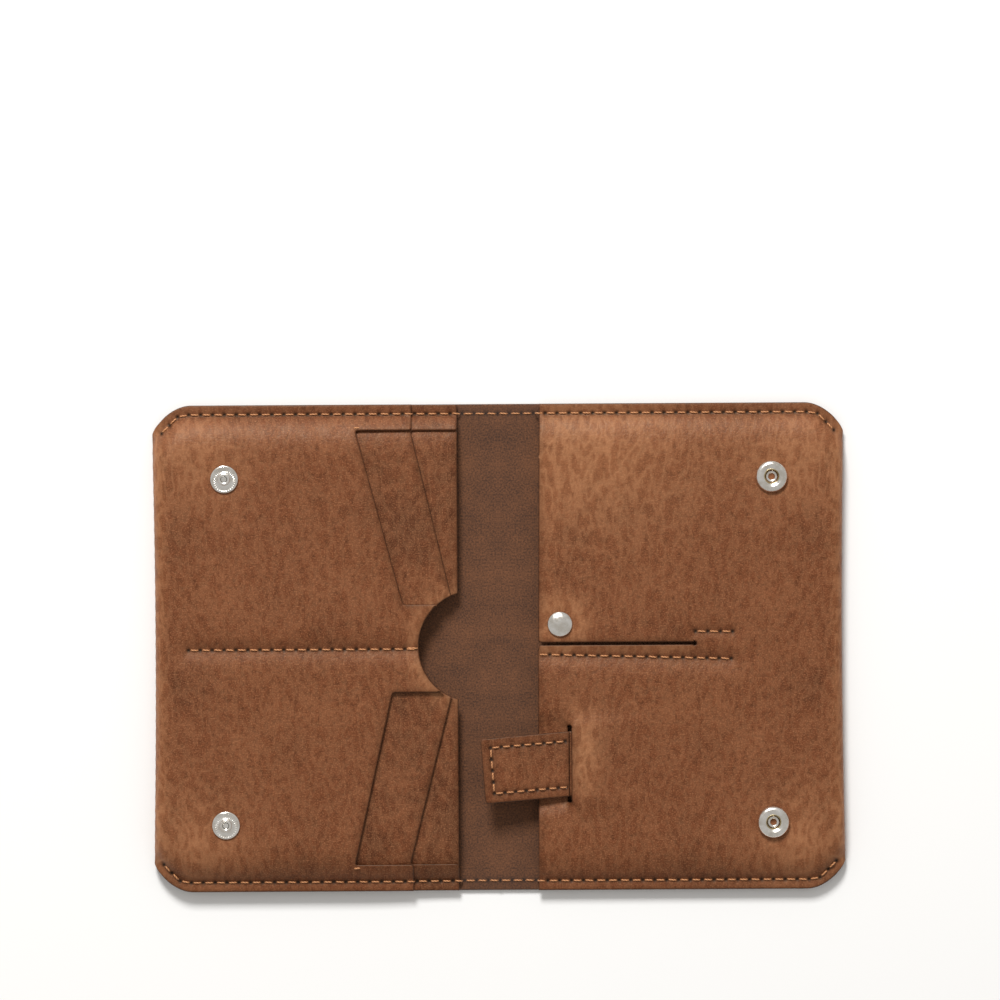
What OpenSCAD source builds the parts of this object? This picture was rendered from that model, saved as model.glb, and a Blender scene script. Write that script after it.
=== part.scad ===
// Travel wallet that opens like a book: passport pocket and card slots on the left half,
// note, coin and card pockets on the right half, two snap closures and a pull strap.
// It lies open on its back. X runs across both halves, Y along the spine and Z up.
// The halves fold on two lines that run along Y, one on each side of the spine strip.

/* [Overall] */
// Width of one half, from the middle of the spine to the outer fold
half_w = 108.5; // [90:0.5:131]
// Height along the spine
height = 152.4; // [127:0.2:183]
// Cut across each outer corner
corner_cut = 7.6; // [5:0.1:10]
// Width of the strip that stands up when the wallet is closed
spine_w = 12.4; // [10:0.1:15]
// Gap between bodies at a bend
bend_gap = 0.4; // [0.2:0.05:0.6]

/* [Leather] */
// Thickness of the cover and its lining
cover_t = 1.3; // [1:0.05:1.8]
// Thickness of the folded-over front leaves
front_t = 1.2; // [0.9:0.05:1.6]
// Thickness of the loose leaves
leaf_t = 0.9; // [0.7:0.05:1.2]
// Thickness of the pull strap
strap_t = 0.8; // [0.6:0.05:1]

/* [Pockets] */
// Height kept open in the passport pocket
passport_gap = 4.1; // [3.4:0.05:6]
// Height kept open in each card slot
card_gap = 0.3; // [0.2:0.05:0.8]
// Height kept open in the note pocket
note_gap = 0.9; // [0.7:0.05:1.5]
// Height kept open in the coin and card pocket
coin_gap = 2.6; // [2.2:0.05:4]
// Depth of the pressed edge that carries the seam
edge_d = 4.7; // [4:0.1:6]
// Depth of the slope from the pressed edge up to the flat
slope_d = 7.5; // [5:0.1:10]

/* [Left leaves] */
// Distance from the spine to the free edge of the inner leaf
inner_free_x = 12.75; // [11:0.05:16]
// Depth of the strip above and below the slot mouths
strip_d = 8.3; // [7.5:0.1:10]
// Distance from the spine to the outer end of the front slot mouths
front_far_x = 44.8; // [38:0.1:52]
// Distance from the spine to the inner end of the upper front mouth
front_up_x = 29.8; // [26:0.1:36]
// Distance from the spine to the inner end of the lower front mouth
front_low_x = 33.3; // [26:0.1:36]
// Distance from the spine to the end of the front strips
front_strip_x = 27; // [20:0.1:30]
// Half height of the front tongue beside the thumb notch
front_tongue = 13.75; // [10:0.05:15]
// Distance from the spine to the outer end of the middle slot mouths
middle_far_x = 27.6; // [24:0.1:34]
// Distance from the spine to the inner end of the middle slot mouths
middle_near_x = 14.8; // [13:0.1:20]
// Half height of the middle tongue beside the thumb notch
middle_tongue = 15.65; // [12:0.05:17]
// Radius of the thumb notch
notch_r = 17.2; // [12:0.1:20]
// Distance from the spine to the centre of the thumb notch
notch_x = 7.9; // [5:0.1:11]

/* [Right leaves] */
// Distance from the spine to the free edge of the right front leaf
front_free_x = 12.5; // [11:0.05:16]
// Distance from the spine to the free edge of the divider leaf
divider_free_x = 13.5; // [12:0.05:18]
// Length of the slit between the coin and card pockets
slit_l = 48.7; // [40:0.1:56]
// Width of the slit
slit_w = 0.8; // [0.5:0.05:1.2]
// Height of the slit above the middle
slit_y = 1; // [0:0.1:3]
// Distance from the slope of the front leaf down to the top of the coin flap
flap_drop = 4; // [2:0.5:10]
// Gap along the bend of the coin flap
flap_gap = 0.15; // [0.1:0.05:0.3]

/* [Pull strap] */
// Width of the strap
strap_w = 20.3; // [16:0.1:22]
// Length of the tab outside the strap slit
tab_l = 27.3; // [24:0.1:30]
// Angle of the strap to X
strap_turn = 4.4; // [0:0.1:6]
// Rise of the tab towards its tip, in degrees
tab_rise = 6.6; // [5:0.1:8]
// Distance from the spine to the strap slit
strap_slit_x = 22; // [20:0.1:26]
// Distance from the bottom edge up to the middle of the strap slit
strap_bottom_in = 39.7; // [37:0.1:44]
// Distance that the strap slides
strap_travel = 24; // [15:0.5:26]

/* [Snaps] */
// Distance from the outer fold in to the closure snaps
snap_fold_in = 23; // [18:0.1:27]
// Distance from the top edge down to the upper closure snap
snap_top_in = 23.2; // [19:0.1:28]
// Distance from the bottom edge up to the lower closure snap
snap_bottom_in = 21.2; // [19:0.1:26]
// Radius of the closure stud
stud_r = 4.35; // [4:0.05:5]
// Radius of the closure socket
socket_r = 5; // [4.6:0.05:5.6]
// Radius of the knob that snaps in
knob_r = 1.9; // [1.55:0.01:2.3]
// Radial play of the knob in its socket
knob_play = 0.2; // [0.1:0.02:0.3]
// Distance from the spine to the coin snap
coin_snap_x = 19.1; // [18:0.1:24]
// Height of the coin snap above the slit
coin_snap_rise = 6.2; // [5.5:0.1:9]
// Radius of the coin snap cap
cap_r = 3.9; // [3.4:0.05:4.4]

/* [Seams] */
// Distance from the edge to the seam
seam_inset = 3; // [2.5:0.1:3.6]
// Distance from one stitch to the next
stitch_pitch = 3.7; // [3:0.05:4.5]
// Length of one stitch
stitch_l = 2.9; // [2.4:0.05:3.2]
// Width of the thread
thread_w = 0.7; // [0.5:0.05:0.9]

/* [Hidden] */
$fn = 64;
hy = height / 2;
half_start = spine_w / 2 + bend_gap;
// undersides and tops of the leaves over the flat part of each half
inner_z = cover_t + passport_gap;
middle_z = inner_z + leaf_t + card_gap;
left_front_z = middle_z + leaf_t + card_gap;
left_top = left_front_z + front_t;
divider_z = cover_t + note_gap;
divider_top = divider_z + leaf_t;
right_front_z = divider_top + coin_gap;
right_top = right_front_z + front_t;
// the same levels in the pressed edge
middle_edge = cover_t + leaf_t;
left_front_edge = middle_edge + leaf_t;
right_front_edge = cover_t + leaf_t;
flat_y = hy - edge_d - slope_d;
press_y = hy - edge_d;
mouth_y = hy - strip_d;
flap_top_y = flat_y - flap_drop;
snap_x = half_w - snap_fold_in;
snap_up_y = hy - snap_top_in;
snap_low_y = -hy + snap_bottom_in;
leaf_inset = 0.2;
beyond = 5;
slit_end_x = front_free_x + slit_l;
slit_hole_r = 0.6;
// strap: level of its underside, and the steps of the front leaf around it
strap_slit_y = -hy + strap_bottom_in;
strap_dip = 1.5;
strap_lift = 0.7;
strap_play = 0.1;
strap_z = right_top - strap_dip + strap_play;
strap_slit_l = strap_w + 2.5;
strap_slit_r = 0.6;
strap_slit_w = 0.8;
strap_pad = 3;
strap_in = strap_travel;
strap_cover_x = strap_slit_x + strap_in + 4;
loop_end_x = half_w - 9.5;
loop_start_x = 34;
loop_clear = 0.05;
// snaps
post_r = 0.85;
post_play = 0.05;
stud_h = 2.2;
stud_flange = 0.5;
socket_h = 1.9;
spring_r = 0.27;
spring_z = 1.15;
socket_post_r = knob_r;
post_cap_t = 0.2;
socket_cap_t = 0.3;
coin_snap_y = slit_y + coin_snap_rise;
coin_socket_r = 3.8;
coin_socket_h = 1.8;
coin_grip = 1;
coin_stud_h = coin_gap - coin_socket_h + coin_grip;
coin_stud_r = 3.6;
coin_knob_r = 1.6;
cap_h = 1.2;
thread_h = 0.3;
thread_lift = 0.02;
divider_seam_y = -0.35;
right_seam_y = slit_y - 4;
right_seam_l = 60.5;
stay_seam_y = slit_y + 3.7;
stay_seam_l = 11.7;
thread_lap = 2;
tab_seam_in = 3;
leather = "#784931";
leather_light = "#8f5d43";
leather_dark = "#6a4531";
thread = "#c98e5a";
nickel = "#b9b7b2";
brass = "#a99a74";

// ---- shared shapes ----

// a profile drawn in Y and Z, run along X
module along_x(x0, x1)
    translate([x0, 0, 0]) rotate([90, 0, 90]) linear_extrude(x1 - x0) children();

// a profile drawn in X and Z, run along Y over more than the height
module along_y()
    translate([0, hy + beyond, 0]) rotate([90, 0, 0]) linear_extrude(height + 2 * beyond) children();

// one half in plan, as if it were the right half
module half_plan()
    polygon([[half_start, -hy], [half_w - corner_cut, -hy], [half_w, -hy + corner_cut],
             [half_w, hy - corner_cut], [half_w - corner_cut, hy], [half_start, hy]]);

// outline in Y and Z of a face that is high over the flat and low at the pressed edges
function crown(low, high) = [
    [-hy - beyond, low], [-press_y, low], [-flat_y, high],
    [flat_y, high], [press_y, low], [hy + beyond, low]];

// a leaf of one thickness that follows the crown
module leaf_profile(low, high, t)
    polygon(concat(crown(low, high), [for (i = [5:-1:0]) crown(low + t, high + t)[i]]));

// everything between a floor and the crown
module fill_profile(base, low, high)
    polygon(concat(crown(low, high), [[hy + beyond, base], [-hy - beyond, base]]));

// the cross section of a half with its round outer fold
module fold_profile(base, top, edge_x) {
    r = (top - base) / 2;
    translate([edge_x - r, base + r]) circle(r);
    translate([0, base]) square([edge_x - r, top - base]);
}

// cover panel, outer fold and front leaf in one piece, as the right half
module cover_shell(front_edge, front_z, top) {
    wall = (cover_t + front_t) / 2;
    difference() {
        intersection() {
            linear_extrude(top + 1) half_plan();
            along_y() fold_profile(0, top, half_w);
            along_x(0, half_w + 1) fill_profile(-1, front_edge + front_t, top);
        }
        intersection() {
            along_y() fold_profile(cover_t, front_z, half_w - wall);
            along_x(0, half_w + 1) fill_profile(cover_t - 1, front_edge, front_z);
        }
    }
}

// what the mouths, strips and notch take out of a left leaf, in plan
module mouths(far_x, up_x, low_x, strip_x, tongue) {
    polygon([[-far_x, mouth_y], [-up_x, tongue], [0, tongue], [0, mouth_y]]);
    polygon([[-far_x, -mouth_y], [-low_x, -tongue], [0, -tongue], [0, -mouth_y]]);
    translate([-strip_x, -hy - 1]) square([strip_x + 1, height + 2]);
    translate([-notch_x, 0]) circle(notch_r);
}

// the part of a front leaf right of its strips that still belongs to its tongue
module tongue_plan(near_x, tongue)
    difference() {
        translate([-near_x, -tongue]) square([near_x - inner_free_x, 2 * tongue]);
        translate([-notch_x, 0]) circle(notch_r);
    }

// stitches laid end to end from a to b, on a face given by its height at y
module seam_run(a, b, level) {
    run = b - a;
    run_l = norm(run);
    turn = atan2(run[1], run[0]);
    count = max(1, floor(run_l / stitch_pitch));
    for (i = [0 : count - 1]) {
        mid = a + run * (i + 0.5) / count;
        rise = abs(sin(turn)) * stitch_l / 2 + abs(cos(turn)) * thread_w / 2;
        high = max(level(mid[1] - rise), level(mid[1] + rise));
        translate([mid[0], mid[1], high + thread_lift])
            rotate([0, 0, turn])
                translate([-stitch_l / 2, -thread_w / 2, 0])
                    cube([stitch_l, thread_w, thread_h]);
    }
}

function between(y, low, high) =
    abs(y) >= press_y ? low :
    abs(y) <= flat_y ? high : low + (high - low) * (press_y - abs(y)) / slope_d;
left_level = function(y) between(y, left_front_edge + front_t, left_top);
middle_level = function(y) between(y, middle_edge + leaf_t, middle_z + leaf_t);
right_level = function(y) between(y, right_front_edge + front_t, right_top);
spine_level = function(y) cover_t;

// the seam of one half along its top edge, from the fold to the spine, as the right half
module edge_seam(level, start_x) {
    cut = corner_cut + seam_inset * 0.4;
    seam_run([half_w - seam_inset, hy - cut], [half_w - cut, hy - seam_inset], level);
    seam_run([half_w - cut, hy - seam_inset], [start_x, hy - seam_inset], level);
}

// moves a shape drawn along the strap, with the slit as its origin, into place
module on_strap()
    translate([strap_slit_x, strap_slit_y, strap_z]) rotate([0, 0, strap_turn]) children();

// ---- covers and leaves ----

module left_cover()
    color(leather)
    difference() {
        mirror([1, 0, 0]) cover_shell(left_front_edge, left_front_z, left_top);
        translate([0, 0, cover_t]) linear_extrude(left_top) difference() {
            mouths(front_far_x, front_up_x, front_low_x, front_strip_x, front_tongue);
            tongue_plan(front_low_x, front_tongue);
        }
        for (y = [snap_up_y, snap_low_y])
            translate([-snap_x, y, left_front_z - 0.1]) cylinder(h = front_t + 0.2, r = post_r + post_play);
    }

module spine_cover()
    color(leather)
    translate([-spine_w / 2, -hy, 0]) cube([spine_w, height, cover_t]);

// the front leaf stepped down in front of the strap slit and up behind it
module strap_step(x0, x1, shift, closed) {
    y0 = strap_slit_y - strap_slit_l / 2 - strap_pad;
    y1 = strap_slit_y + strap_slit_l / 2 + strap_pad;
    base = right_front_z + min(shift, 0);
    web_h = front_t + abs(shift);
    translate([x0, y0, right_front_z + shift]) cube([x1 - x0, y1 - y0, front_t]);
    translate([x0, y0, base]) cube([x1 - x0, front_t, web_h]);
    translate([x0, y1 - front_t, base]) cube([x1 - x0, front_t, web_h]);
    if (closed) translate([x1 - front_t, y0, base]) cube([front_t, y1 - y0, web_h]);
}

// the corner that the coin flap fills, with its bend moved in by a gap
module flap_plan(gap) {
    along = slit_l;
    up = flap_top_y - slit_y;
    slant = norm([along, up]);
    polygon([[front_free_x, slit_y], [slit_end_x - gap * slant / up, slit_y],
             [front_free_x, flap_top_y - gap * slant / along]]);
}

module right_cover()
    color(leather_light)
    difference() {
        union() {
            difference() {
                cover_shell(right_front_edge, right_front_z, right_top);
                translate([strap_slit_x - 20, strap_slit_y - strap_slit_l / 2 - strap_pad + front_t / 2,
                           right_front_z - 0.1])
                    cube([strap_cover_x - strap_slit_x + 20 - front_t / 2,
                          strap_slit_l + 2 * strap_pad - front_t, front_t + 0.2]);
            }
            strap_step(front_free_x, strap_slit_x - strap_slit_w / 2, -strap_dip, false);
            strap_step(strap_slit_x + strap_slit_w / 2, strap_cover_x, strap_lift, true);
        }
        // free edge beside the spine
        translate([0, -hy - 1, cover_t]) cube([front_free_x, height + 2, right_top]);
        // slit between the pockets, its end hole, and the flap above it
        translate([0, slit_y - slit_w / 2, right_front_z - 1]) cube([slit_end_x, slit_w, front_t + 3]);
        translate([slit_end_x, slit_y, right_front_z - 1]) cylinder(h = front_t + 3, r = slit_hole_r);
        translate([0, 0, right_front_z - 1]) linear_extrude(front_t + 3) flap_plan(0);
        // strap slit with a round hole at each end
        translate([strap_slit_x - strap_slit_w / 2, strap_slit_y - strap_slit_l / 2,
                   right_front_z - strap_dip - 1])
            cube([strap_slit_w, strap_slit_l, front_t + strap_dip + 3]);
        for (side = [-1, 1])
            translate([strap_slit_x, strap_slit_y + side * strap_slit_l / 2, right_front_z - strap_dip - 1])
                cylinder(h = front_t + strap_dip + 3, r = strap_slit_r);
        for (y = [snap_up_y, snap_low_y])
            translate([snap_x, y, right_front_z - 0.1])
                cylinder(h = front_t + 0.2, r = socket_post_r + post_play);
    }

// a loose leaf, cut to the plan given as a child
module leaf(low, high, fold_top)
    intersection() {
        along_x(-half_w, half_w) leaf_profile(low, high, leaf_t);
        linear_extrude(fold_top) children();
    }

// plan of a leaf that lies inside the outer fold of its half, as the right half
module inner_plan(top, free_x)
    intersection() {
        half_plan();
        translate([free_x, -hy]) square([half_w - top / 2 - leaf_inset - free_x, height]);
    }

module middle_leaf()
    color(leather_dark)
    leaf(middle_edge, middle_z, left_top) difference() {
        mirror([1, 0]) inner_plan(left_top, inner_free_x);
        difference() {
            mouths(middle_far_x, middle_near_x, middle_near_x, inner_free_x, middle_tongue);
            tongue_plan(middle_near_x, middle_tongue);
        }
    }

module inner_leaf()
    color(leather)
    leaf(cover_t, inner_z, left_top) difference() {
        mirror([1, 0]) inner_plan(left_top, inner_free_x);
        translate([-notch_x, 0]) circle(notch_r);
    }

module divider_leaf()
    color(leather_dark)
    difference() {
        leaf(cover_t, divider_z, right_top) inner_plan(right_top, divider_free_x);
        translate([coin_snap_x, coin_snap_y, divider_z - 0.1])
            cylinder(h = leaf_t + 0.2, r = post_r + post_play);
    }

module coin_flap()
    color(leather_light)
    difference() {
        translate([0, 0, right_front_z]) linear_extrude(front_t) intersection() {
            flap_plan(flap_gap);
            translate([front_free_x, slit_y + slit_w / 2]) square([slit_l, flap_top_y]);
        }
        translate([coin_snap_x, coin_snap_y, right_front_z - 0.1])
            cylinder(h = front_t + 0.2, r = post_r + post_play);
    }

// ---- pull strap ----

module pull_strap()
    color(leather)
    on_strap() translate([0, strap_w / 2, 0]) rotate([90, 0, 0]) linear_extrude(strap_w) {
        tip = tab_l * [-cos(tab_rise), sin(tab_rise)];
        up = strap_t * [sin(tab_rise), cos(tab_rise)];
        polygon([[0, 0], [strap_in, 0], [strap_in, strap_t],
                 [strap_t * tan(tab_rise / 2), strap_t], tip + up, tip]);
    }

module tab_facing()
    color(leather_light)
    on_strap() rotate([0, tab_rise, 0])
        translate([-tab_l, -strap_w / 2, strap_t + thread_lift])
            cube([tab_l - strap_slit_w, strap_w, strap_t]);

module strap_loop()
    color(leather_dark)
    translate([0, strap_slit_y + 2 - strap_w / 2, 0]) {
        translate([loop_start_x, 0, divider_top + loop_clear])
            cube([loop_end_x - loop_start_x, strap_w, strap_t]);
        translate([loop_end_x - strap_t, 0, divider_top + loop_clear])
            cube([strap_t, strap_w, right_front_z - divider_top - 2 * loop_clear]);
        translate([strap_slit_x + strap_in + 2, 0, right_front_z - loop_clear - strap_t])
            cube([loop_end_x - strap_slit_x - strap_in - 2, strap_w, strap_t]);
    }

// ---- closure snaps ----

module stud(y)
    color(nickel)
    translate([-snap_x, y, left_top]) rotate_extrude()
        polygon([[post_r + post_play, 0], [stud_r, 0], [stud_r, stud_flange - 0.2],
                 [stud_r - 0.25, stud_flange], [knob_r - 0.1, stud_flange],
                 [knob_r - 0.2, stud_h / 2], [knob_r, stud_h - 0.6], [knob_r, stud_h - 0.2],
                 [knob_r - 0.2, stud_h], [post_r + 0.25, stud_h], [post_r + post_play, stud_h - 0.2]]);

module stud_post(y)
    color(brass)
    translate([-snap_x, y, left_front_z]) {
        translate([0, 0, -post_cap_t]) cylinder(h = post_cap_t, r = stud_r - 0.8);
        translate([0, 0, -post_cap_t]) cylinder(h = post_cap_t + front_t + stud_h - 0.6, r = post_r);
    }

module socket(y)
    color(nickel)
    translate([snap_x, y, right_top]) rotate_extrude() {
        bore = knob_r + knob_play;
        groove = bore + 2 * spring_r;
        polygon([[bore, 0], [socket_r, 0], [socket_r, socket_h / 2], [socket_r - 0.4, socket_h - 0.4],
                 [socket_r - 1.1, socket_h], [bore + 0.2, socket_h], [bore, socket_h - 0.2],
                 [bore, spring_z + spring_r + 0.03], [groove, spring_z + spring_r + 0.03],
                 [groove, spring_z - spring_r - 0.03], [bore, spring_z - spring_r - 0.03]]);
    }

module spring(y)
    color(brass)
    translate([snap_x, y, right_top + spring_z]) rotate_extrude()
        translate([knob_r + knob_play / 2 + spring_r, 0]) circle(spring_r, $fn = 24);

module socket_post(y)
    color(brass)
    translate([snap_x, y, right_front_z]) difference() {
        union() {
            translate([0, 0, -socket_cap_t]) cylinder(h = socket_cap_t, r = socket_r - 0.4);
            translate([0, 0, -socket_cap_t]) cylinder(h = socket_cap_t + front_t + 0.2, r = socket_post_r);
        }
        translate([0, 0, -socket_cap_t - 1]) cylinder(h = front_t + 3, r = post_r);
    }

// ---- coin snap ----

module coin_cap()
    color(nickel)
    translate([coin_snap_x, coin_snap_y, right_top]) {
        ball_r = (cap_r * cap_r + cap_h * cap_h) / (2 * cap_h);
        intersection() {
            translate([0, 0, cap_h - ball_r]) sphere(ball_r, $fn = 96);
            cylinder(h = cap_h, r = cap_r);
        }
        translate([0, 0, -front_t - coin_socket_h / 4])
            cylinder(h = front_t + coin_socket_h / 4 + cap_h / 2, r = post_r);
    }

module coin_socket()
    color(nickel)
    translate([coin_snap_x, coin_snap_y, right_front_z - coin_socket_h]) rotate_extrude() {
        bore = coin_knob_r + knob_play + 0.05;
        groove = bore + 2 * spring_r;
        polygon([[bore, 0], [coin_socket_r - 0.4, 0], [coin_socket_r, 0.4],
                 [coin_socket_r, coin_socket_h], [post_r + post_play, coin_socket_h],
                 [post_r + post_play, coin_socket_h - 0.4], [bore, coin_socket_h - 0.4],
                 [bore, 2 * spring_r + 0.36], [groove, 2 * spring_r + 0.36],
                 [groove, 0.3], [bore, 0.3]]);
    }

module coin_spring()
    color(brass)
    translate([coin_snap_x, coin_snap_y, right_front_z - coin_socket_h + spring_r + 0.33])
        rotate_extrude() translate([coin_knob_r + knob_play + 0.02 + spring_r, 0])
            circle(spring_r, $fn = 24);

module coin_stud()
    color(nickel)
    translate([coin_snap_x, coin_snap_y, divider_top]) rotate_extrude()
        polygon([[post_r + post_play, 0], [coin_stud_r, 0], [coin_stud_r, 0.3],
                 [coin_stud_r - 0.3, 0.45], [coin_knob_r - 0.1, 0.45],
                 [coin_knob_r, coin_stud_h - 0.4], [coin_knob_r - 0.3, coin_stud_h],
                 [post_r + post_play, coin_stud_h]]);

module coin_stud_post()
    color(brass)
    translate([coin_snap_x, coin_snap_y, divider_z]) {
        translate([0, 0, -socket_cap_t]) cylinder(h = socket_cap_t, r = coin_stud_r - 0.4);
        translate([0, 0, -socket_cap_t]) cylinder(h = socket_cap_t + leaf_t + coin_stud_h - 0.5, r = post_r);
    }

// ---- seams ----

// the left edge seam goes on over the middle strip and the cover, as the right half
module left_seam() {
    y = hy - seam_inset;
    edge_seam(left_level, front_strip_x);
    seam_run([front_strip_x, y], [inner_free_x, y], middle_level);
    seam_run([inner_free_x, y], [half_start, y], spine_level);
}

module right_seam() {
    edge_seam(right_level, front_free_x);
    seam_run([front_free_x, hy - seam_inset], [half_start, hy - seam_inset], spine_level);
}

module left_top_stitches()
    color(thread) mirror([1, 0, 0]) left_seam();

module left_bottom_stitches()
    color(thread) mirror([1, 0, 0]) mirror([0, 1, 0]) left_seam();

module spine_stitches()
    color(thread)
    for (side = [-1, 1])
        seam_run([-spine_w / 2, side * (hy - seam_inset)], [spine_w / 2, side * (hy - seam_inset)],
                 spine_level);

module right_top_stitches()
    color(thread) right_seam();

module right_bottom_stitches()
    color(thread) mirror([0, 1, 0]) right_seam();

module left_divider_stitches()
    color(thread)
    seam_run([-half_w + 11, divider_seam_y], [-notch_x - notch_r - 0.5, divider_seam_y], left_level);

module right_divider_stitches()
    color(thread)
    seam_run([front_free_x + 0.3, right_seam_y], [front_free_x + right_seam_l, right_seam_y], right_level);

module coin_stay_stitches()
    color(thread)
    seam_run([slit_end_x + 0.5, stay_seam_y], [slit_end_x + stay_seam_l + 0.5, stay_seam_y], right_level);

module mouth_tacks()
    color(thread)
    for (side = [-1, 1])
        seam_run([-front_far_x - thread_lap, side * (mouth_y + 1)],
                 [-front_far_x + thread_lap, side * (mouth_y + 1)], left_level);

module tab_stitches()
    color(thread)
    on_strap() rotate([0, tab_rise, 0]) translate([0, 0, 2 * strap_t + thread_lift]) {
        edge = strap_w / 2 - tab_seam_in;
        tip = -tab_l + tab_seam_in;
        flat = function(y) 0;
        seam_run([tip, edge], [-strap_slit_w, edge], flat);
        seam_run([tip, -edge], [-strap_slit_w, -edge], flat);
        seam_run([tip, -edge + thread_w], [tip, edge - thread_w], flat);
    }

module strap_anchor_stitches()
    color(thread)
    translate([loop_start_x + tab_seam_in, strap_slit_y + 2, 0])
        seam_run([0, -strap_w / 2 + tab_seam_in], [0, strap_w / 2 - tab_seam_in],
                 function(y) divider_top + loop_clear + strap_t);

left_cover();
spine_cover();
right_cover();
middle_leaf();
inner_leaf();
divider_leaf();
coin_flap();
pull_strap();
tab_facing();
strap_loop();
stud(snap_up_y);  // upper_stud
stud_post(snap_up_y);  // upper_stud_post
socket(snap_up_y);  // upper_socket
socket_post(snap_up_y);  // upper_socket_post
spring(snap_up_y);  // upper_spring
stud(snap_low_y);  // lower_stud
stud_post(snap_low_y);  // lower_stud_post
socket(snap_low_y);  // lower_socket
socket_post(snap_low_y);  // lower_socket_post
spring(snap_low_y);  // lower_spring
coin_cap();
coin_socket();
coin_spring();
coin_stud();
coin_stud_post();
left_top_stitches();
left_bottom_stitches();
spine_stitches();
right_top_stitches();
right_bottom_stitches();
left_divider_stitches();
right_divider_stitches();
coin_stay_stitches();
mouth_tacks();
tab_stitches();
strap_anchor_stitches();
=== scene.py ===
# A leather travel wallet, lying open: grain leather covers and leaves, waxed linen seams, nickel snaps
import math
import bmesh
import bpy
import numpy as np
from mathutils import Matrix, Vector, geometry


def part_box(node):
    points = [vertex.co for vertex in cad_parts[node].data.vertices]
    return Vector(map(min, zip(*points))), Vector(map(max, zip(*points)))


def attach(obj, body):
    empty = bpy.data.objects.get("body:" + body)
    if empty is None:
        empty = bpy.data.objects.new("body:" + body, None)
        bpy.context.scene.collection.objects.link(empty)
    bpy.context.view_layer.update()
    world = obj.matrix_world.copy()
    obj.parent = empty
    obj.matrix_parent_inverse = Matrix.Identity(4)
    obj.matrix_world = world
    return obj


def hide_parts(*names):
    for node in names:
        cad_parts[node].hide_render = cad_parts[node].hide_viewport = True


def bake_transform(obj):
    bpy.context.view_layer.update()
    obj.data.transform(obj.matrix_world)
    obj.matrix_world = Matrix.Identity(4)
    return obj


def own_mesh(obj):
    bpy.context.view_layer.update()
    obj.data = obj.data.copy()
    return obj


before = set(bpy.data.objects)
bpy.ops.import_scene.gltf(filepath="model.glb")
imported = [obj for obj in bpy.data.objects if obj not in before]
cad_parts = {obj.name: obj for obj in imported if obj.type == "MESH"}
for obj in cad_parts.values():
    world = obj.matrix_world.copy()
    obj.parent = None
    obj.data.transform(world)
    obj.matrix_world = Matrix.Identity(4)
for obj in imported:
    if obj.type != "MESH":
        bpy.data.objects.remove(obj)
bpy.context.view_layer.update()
dice = np.random.default_rng(7)


def boxMm(node):
    low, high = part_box(node)
    return np.array(low) * 1000, np.array(high) * 1000


def middleMm(node):
    low, high = boxMm(node)
    return (low + high) / 2


# levels and outlines that the frame gives, in millimetres
halfW = boxMm("right_cover")[1][0]
halfH = boxMm("right_cover")[1][1]
coverTop = boxMm("spine_cover")[1][2]
frontTop = boxMm("left_cover")[1][2]
middleTop = boxMm("middle_leaf")[1][2]
innerTop = boxMm("inner_leaf")[1][2]
rightTop = boxMm("upper_socket")[0][2]
dividerTop = boxMm("divider_leaf")[1][2]
print("frame loaded:", round(2 * halfW, 1), "by", round(2 * halfH, 1), "mm")

# small helpers


def smooth(low, high, value):
    t = np.clip((value - low) / (high - low), 0, 1)
    return t * t * (3 - 2 * t)


def hill(distance, width):
    return np.exp(-((distance / width) ** 2))


def linear(hexText):
    parts = [int(hexText[i:i + 2], 16) / 255 for i in (1, 3, 5)]
    return [p / 12.92 if p <= 0.04045 else ((p + 0.055) / 1.055) ** 2.4 for p in parts] + [1.0]


def segmentDistance(points, starts, ends):
    # nearest distance from each point to any of the segments
    best = np.full(len(points), 1e9)
    for i in range(0, len(points), 1500):
        p = points[i:i + 1500, None, :]
        run = (ends - starts)[None]
        t = ((p - starts[None]) * run).sum(2) / np.maximum((run ** 2).sum(2), 1e-12)
        near = starts[None] + np.clip(t, 0, 1)[..., None] * run
        best[i:i + 1500] = np.sqrt(((p - near) ** 2).sum(2)).min(1)
    return best


def pathDistance(points, paths):
    best = np.full(len(points), 1e9)
    for path in paths:
        path = np.asarray(path, float)
        best = np.minimum(best, segmentDistance(points, path[:-1], path[1:]))
    return best


def inside(points, loop):
    x, y = points[:, 0, None], points[:, 1, None]
    ax, ay = loop[:, 0], loop[:, 1]
    bx, by = np.roll(loop, -1, 0).T
    crosses = ((ay > y) != (by > y)) & (x < (bx - ax) * (y - ay) / (by - ay + 1e-12) + ax)
    return crosses.sum(1) % 2 == 1


def arc(cx, cy, r, fromDeg, toDeg, count):
    turn = np.radians(np.linspace(fromDeg, toDeg, count))
    return [(cx + r * math.cos(a), cy + r * math.sin(a)) for a in turn]


def roundCorners(points, radius, steps=5):
    # an open chain of corners becomes the same chain with each inner corner rounded
    out = [points[0]]
    for a, b, c in zip(points, points[1:], points[2:]):
        a, b, c = (np.array(p, float) for p in (a, b, c))
        toA, toC = a - b, c - b
        cut = min(radius, np.linalg.norm(toA) * 0.45, np.linalg.norm(toC) * 0.45)
        p, q = b + toA / np.linalg.norm(toA) * cut, b + toC / np.linalg.norm(toC) * cut
        for t in np.linspace(0, 1, steps):
            out.append(tuple((1 - t) ** 2 * p + 2 * t * (1 - t) * b + t * t * q))
    return out + [points[-1]]


def resample(loop, step):
    out = []
    for a, b in zip(np.asarray(loop, float), np.roll(np.asarray(loop, float), -1, 0)):
        gap = np.linalg.norm(b - a)
        if gap < 1e-4:
            continue
        count = max(1, int(round(gap / step)))
        out += [a + (b - a) * i / count for i in range(count)]
    return np.array(out)


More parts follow.
